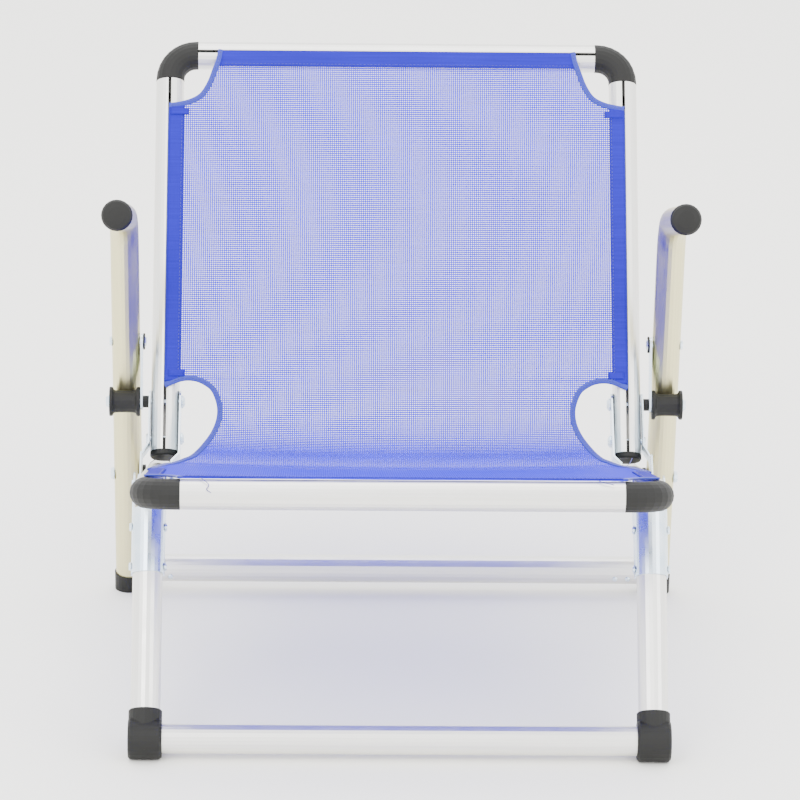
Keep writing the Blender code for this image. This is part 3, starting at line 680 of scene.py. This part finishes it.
def stitch_rows(name, rows, body, colour="#100a90", long=0.0026, gap=0.0036, lift=0.0021):
    """Lockstitches: each is a six-sided grain of thread, placed every gap along rows of (x, a) lines."""
    ring = np.linspace(0, 2 * np.pi, 6, endpoint=False)
    spans = np.array([-0.5, -0.3, 0.3, 0.5])
    fat = np.array([0.35, 1.0, 1.0, 0.35])
    verts, faces, count = [], [], 0
    base = grid_faces(4, 6, wrap=True)
    for line in rows:
        x, a = line[:, 0], line[:, 1]
        points, _, normal = on_sling(x, a, lift)
        along = np.concatenate([[0], np.cumsum(np.linalg.norm(np.diff(points, axis=0), axis=1))])
        at = np.arange(gap / 2, along[-1], gap)
        centre = np.stack([np.interp(at, along, points[:, i]) for i in range(3)], 1)
        up = np.stack([np.interp(at, along, normal[:, i]) for i in range(3)], 1)
        ahead = np.stack([np.interp(at + 0.0005, along, points[:, i]) for i in range(3)], 1)
        behind = np.stack([np.interp(at - 0.0005, along, points[:, i]) for i in range(3)], 1)
        way = ahead - behind
        way /= np.linalg.norm(way, axis=1, keepdims=True)
        side = np.cross(way, up)
        round_it = (side[:, None, None, :] * np.cos(ring)[None, None, :, None]
                    + up[:, None, None, :] * np.sin(ring)[None, None, :, None])
        grain = (centre[:, None, None, :] + way[:, None, None, :] * (spans * long)[None, :, None, None]
                 + round_it * (fat * THREAD_RADIUS)[None, :, None, None])
        verts.append(grain.reshape(-1, 3))
        n = len(at)
        start = count + np.arange(n)[:, None] * 24
        quads = (base[None] + start[:, :, None]).reshape(-1, 4).tolist()
        faces += quads
        faces += (start + np.arange(5, -1, -1)[None]).tolist()
        faces += (start + 18 + np.arange(6)[None]).tolist()
        count += n * 24
    verts = np.concatenate(verts)
    thread = finish_of("polyester_sewing_thread_blue", plain_thread, colour)
    piece = mesh_piece(name, verts, faces, thread)
    if body == "across":
        across_hinge(piece)
    else:
        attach(piece, body)
    return piece


class BEACH_OT_stitches(bpy.types.Operator):
    """Sew the hems and bindings with rows of stitches."""
    bl_idname = "beach.stitches"
    bl_label = "Sew the stitches"

    def execute(self, context):
        wide = context.scene.beach_cloth.hem_width
        low, high = at_back(0.0200), at_back(TOP_T - 0.0625)

        def straight(x0, a0, x1, a1):
            return np.stack([np.linspace(x0, x1, 40), np.linspace(a0, a1, 40)], 1)

        for side, s in (("left", 1.0), ("right", -1.0)):
            x = s * (BACK_X - wide + 0.0022)
            stitch_rows(f"back_side_stitches_{side}", [straight(x, low, x, high)], "back", lift=SEAM_LIFT)
            x = s * (SEAT_X - wide + 0.0022)
            stitch_rows(f"seat_side_stitches_{side}", [straight(x, at_seat(0.039), x, at_seat(0.163))],
                        "seat", lift=SEAM_LIFT)
            stitch_rows(f"crease_binding_stitches_{side}", [CREASE_CUT[2:-2] * (s, 1.0)], "across",
                        "#101e90", 0.0022, 0.0034, TAPE_SEAM_LIFT)
            stitch_rows(f"top_binding_stitches_{side}", [TOP_CUT[1:-1] * (s, 1.0)], "back",
                        "#101e90", 0.0022, 0.0034, TAPE_SEAM_LIFT)
        edge = at_back(TOP_T - 0.0140)
        stitch_rows("top_stitches", [straight(-0.175, edge, 0.175, edge)], "back", lift=SEAM_LIFT)
        front = at_seat(0.0120)
        stitch_rows("front_stitches", [straight(-0.199, front, 0.199, front),
                                       straight(-0.199, 0.0022, 0.199, 0.0022)], "seat", lift=SEAM_LIFT)
        return {"FINISHED"}


def thread_end(name, points, body, radius=0.00035, colour="#2430c4"):
    """A loose end of thread: a round profile carried along a smooth line of world points."""
    line = smooth_line(points, 30)
    tangent = np.gradient(line, axis=0)
    tangent /= np.linalg.norm(tangent, axis=1, keepdims=True)
    ref = np.array([0.35, 0.2, 0.9])
    side = np.cross(tangent, ref)
    side /= np.linalg.norm(side, axis=1, keepdims=True)
    up = np.cross(side, tangent)
    verts, faces = carried(line, side, up, oval(radius * 2, radius * 2, 6, 2.0))
    piece = mesh_piece(name, verts, faces, finish_of("polyester_sewing_thread_blue", plain_thread, colour))
    facing_out(piece)
    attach(piece, body)
    return piece


class BEACH_OT_thread_ends(bpy.types.Operator):
    """Leave the few loose thread ends that the sewing has at its corners."""
    bl_idname = "beach.thread_ends"
    bl_label = "Make the thread ends"

    def execute(self, context):
        tube = np.array([0.0, SEAT_AT[0], SEAT_AT[1]])
        r = 0.0146

        def round_tube(x, angle, out=0.0):
            ang = math.radians(angle)
            return tube + np.array([x, -(r + out) * math.cos(ang), (r + out) * math.sin(ang)])

        thread_end("thread_end_front_right", [
            round_tube(-0.186, 104, 0.0016), round_tube(-0.182, 78, 0.0016),
            round_tube(-0.1765, 55, 0.0008), round_tube(-0.1785, 38, 0.0008),
            round_tube(-0.1745, 26, 0.0012)], "seat")
        thread_end("thread_end_front_left", [
            round_tube(0.176, 104, 0.0016), round_tube(0.180, 80, 0.0014), round_tube(0.187, 70, 0.0012),
            round_tube(0.192, 62, 0.0016)], "seat")
        points, _, _ = on_sling(np.array([0.2225, 0.2255, 0.2280, 0.2310]),
                                A_BEND + np.array([-0.004, 0.010, 0.018, 0.031]), 0.0015)
        thread_end("thread_end_crease_left", points, "seat")
        return {"FINISHED"}


class BEACH_OT_keders(bpy.types.Operator):
    """Lay the cord that holds each hem inside its tube's channel."""
    bl_idname = "beach.keders"
    bl_label = "Make the hem cords"

    def execute(self, context):
        cloth = context.scene.beach_cloth
        cord = finish_of("woven_binding_tape_blue", sewn_tape, cloth.tape_colour, 0.0012)

        def lay(name, start, end, body):
            t = np.linspace(0, 1, 40)[:, None]
            line = np.array(start) * (1 - t) + np.array(end) * t
            way = np.array(end, float) - np.array(start, float)
            way /= np.linalg.norm(way)
            ref = np.array([0.0, -0.6, 0.8]) if abs(way[0]) > 0.5 else np.array([1.0, 0.0, 0.0])
            side = np.cross(way, ref)
            side /= np.linalg.norm(side)
            up = np.cross(side, way)
            verts, faces = carried(line, np.repeat(side[None], 40, 0), np.repeat(up[None], 40, 0),
                                   oval(0.0024, 0.0024, 10, 2.0))
            length = np.linalg.norm(np.array(end) - np.array(start))
            ring = np.broadcast_to(np.linspace(0, length, 40)[:, None], (40, 10)).ravel()
            v = np.concatenate([ring, [0.0, length]])
            piece = mesh_piece(name, verts, faces, cord, np.stack([v * 0, v], -1))
            facing_out(piece)
            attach(piece, body)

        def back_at(x, t, h):
            p = SHAFT_AT + BACK_WAY * t + BACK_OUT * h
            return (x, float(p[0]), float(p[1]))

        def seat_at(x, s, h):
            p = SEAT_AT + SEAT_WAY * s + SEAT_UP * h
            return (x, float(p[0]), float(p[1]))

        for side, s in (("left", 1.0), ("right", -1.0)):
            lay(f"back_hem_cord_{side}", back_at(s * BACK_X, 0.016, CORD_AT),
                back_at(s * BACK_X, TOP_T - 0.0600, CORD_AT), "back")
            lay(f"seat_hem_cord_{side}", seat_at(s * SEAT_X, 0.036, CORD_AT),
                seat_at(s * SEAT_X, 0.162, CORD_AT), "seat")
        lay("top_hem_cord", back_at(-0.176, TOP_T, CORD_AT), back_at(0.176, TOP_T, CORD_AT), "back")
        return {"FINISHED"}


def turned(name, profile, centre, axis, material, steps=32):
    """A turned piece: (radius, height) points carried round an axis through centre, closed at its ends."""
    axis = np.array(axis, float)
    axis /= np.linalg.norm(axis)
    ref = np.array([0.0, 0.0, 1.0]) if abs(axis[2]) < 0.9 else np.array([1.0, 0.0, 0.0])
    u = np.cross(axis, ref)
    u /= np.linalg.norm(u)
    v = np.cross(axis, u)
    ang = np.linspace(0, 2 * np.pi, steps, endpoint=False)
    ring = np.cos(ang)[:, None] * u + np.sin(ang)[:, None] * v
    profile = np.asarray(profile, float)
    points = (np.array(centre)[None, None] + profile[:, 0][:, None, None] * ring[None]
              + profile[:, 1][:, None, None] * axis[None, None])
    piece = mesh_piece(name, points, grid_faces(len(profile), steps, wrap=True), material)
    return facing_out(piece)


class BEACH_OT_washers(bpy.types.Operator):
    """Set the black rings round the link bolts' inner heads."""
    bl_idname = "beach.washers"
    bl_label = "Make the washers"

    def execute(self, context):
        plastic = finish_of("moulded_nylon_charcoal", moulded_nylon)
        bolt_at = ARM_AT + ARM_WAY * 0.150
        for side, s in (("left", 1.0), ("right", -1.0)):
            rim = [(0.0068, 0.0), (0.0078, 0.0), (0.0083, 0.0005), (0.0083, 0.0013), (0.0078, 0.0018),
                   (0.0068, 0.0018), (0.0068, 0.0)]
            piece = turned(f"link_bolt_washer_{side}", rim, (s * 0.2492, bolt_at[0], bolt_at[1]),
                           (s, 0, 0), plastic)
            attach(piece, "arms")
        return {"FINISHED"}


class BEACH_OT_screws(bpy.types.Operator):
    """Drive the small pan-head screws that pin the rear cross tube."""
    bl_idname = "beach.screws"
    bl_label = "Make the cross tube's screws"

    def execute(self, context):
        zinc = finish_of("zinc_plated_pressed_steel", zinc_plate)
        lo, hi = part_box("rear_cross_tube")
        centre = (np.array(lo) + np.array(hi)) / 2
        way = np.array([0.0, -0.94, -0.34])
        head = [(0.0, 0.0131), (0.0026, 0.0131), (0.0027, 0.0146), (0.0023, 0.0153),
                (0.0011, 0.0156), (0.0, 0.0156)]
        for side, s in (("left", 1.0), ("right", -1.0)):
            for i, x in enumerate((0.226, 0.239)):
                piece = turned(f"cross_tube_screw_{side}_{i + 1}", head,
                               (s * x, centre[1], centre[2]), way, zinc, 20)
                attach(piece, "arms")
        return {"FINISHED"}


class BEACH_OT_declare(bpy.types.Operator):
    """An empty step: nothing about the sling's cut size or what it rests on is stated."""
    bl_idname = "beach.declare"
    bl_label = "Declare the sling"

    def execute(self, context):
        return {"FINISHED"}


class BEACH_OT_stage(bpy.types.Operator):
    """Lay the pale floor, set the soft lights and the camera."""
    bl_idname = "beach.stage"
    bl_label = "Set the stage"

    def execute(self, context):
        stage = context.scene.beach_stage
        paint = finish_of("matt_studio_paint", backdrop_paint, stage.floor_colour)
        g = np.linspace(-9, 9, 13)
        x, y = np.meshgrid(g, g)
        floor = mesh_piece("studio_floor", np.stack([x, y, np.zeros_like(x) - 0.0002], -1),
                           grid_faces(13, 13), paint)
        world = bpy.data.worlds.new("soft_room")
        world.use_nodes = True
        world.node_tree.nodes.clear()
        sky = add_node(world.node_tree, "ShaderNodeBackground",
                       {"Color": (1.0, 1.0, 1.0, 1.0), "Strength": 3.1})
        add_node(world.node_tree, "ShaderNodeOutputWorld", links={"Surface": sky.outputs[0]})
        context.scene.world = world
        for name, place, size, power in (("key_softbox", (-1.6, -2.6, 2.6), 1.8, 55.0),
                                         ("fill_softbox", (2.4, -2.0, 1.8), 1.8, 30.0),
                                         ("top_softbox", (0.0, 0.6, 3.0), 2.4, 45.0)):
            lamp = bpy.data.lights.new(name, "AREA")
            lamp.size = size
            lamp.energy = power
            holder = bpy.data.objects.new(name, lamp)
            holder.location = place
            aim = np.array([0.0, 0.0, 0.25]) - np.array(place)
            holder.rotation_euler = Vector(aim).to_track_quat("-Z", "Y").to_euler()
            context.scene.collection.objects.link(holder)
        data = bpy.data.cameras.new("camera")
        data.lens = stage.lens
        data.sensor_width = 36.0
        data.clip_end = 100.0
        camera = bpy.data.objects.new("camera", data)
        e, turn = math.radians(stage.elevation), math.radians(1.174)
        ahead = Vector((math.sin(turn) * math.cos(e), math.cos(turn) * math.cos(e), -math.sin(e)))
        camera.location = (-0.0813, -4.0666, 1.6202)
        look = ahead.to_track_quat("-Z", "Y").to_matrix().to_4x4()
        camera.rotation_euler = (look @ Matrix.Rotation(math.radians(0.762), 4, "Z")).to_euler()
        context.scene.collection.objects.link(camera)
        context.scene.camera = camera
        return {"FINISHED"}


STEPS = (BEACH_OT_frame, BEACH_OT_sling, BEACH_OT_hems, BEACH_OT_bindings, BEACH_OT_stitches,
         BEACH_OT_thread_ends, BEACH_OT_keders, BEACH_OT_washers, BEACH_OT_screws, BEACH_OT_declare,
         BEACH_OT_stage)


class BEACH_PT_panel(bpy.types.Panel):
    """Lists the chair's settings and making steps."""
    bl_idname = "BEACH_PT_panel"
    bl_label = "Beach chair"
    bl_space_type = "VIEW_3D"
    bl_region_type = "UI"
    bl_category = "Beach chair"

    def draw(self, context):
        for group in ("beach_cloth", "beach_frame", "beach_stage"):
            box = self.layout.box()
            settings = getattr(context.scene, group)
            for name in settings.__annotations__:
                box.prop(settings, name)
        for step in STEPS:
            self.layout.operator(step.bl_idname)


CLASSES = (ClothSettings, FrameSettings, StageSettings) + STEPS + (BEACH_PT_panel,)


def register():
    for cls in CLASSES:
        bpy.utils.register_class(cls)
    bpy.types.Scene.beach_cloth = PointerProperty(type=ClothSettings)
    bpy.types.Scene.beach_frame = PointerProperty(type=FrameSettings)
    bpy.types.Scene.beach_stage = PointerProperty(type=StageSettings)


def unregister():
    del bpy.types.Scene.beach_cloth
    del bpy.types.Scene.beach_frame
    del bpy.types.Scene.beach_stage
    for cls in reversed(CLASSES):
        bpy.utils.unregister_class(cls)


def main():
    register()
    for step in STEPS:
        getattr(bpy.ops.beach, step.bl_idname.split(".")[1])()


if __name__ == "__main__":
    main()
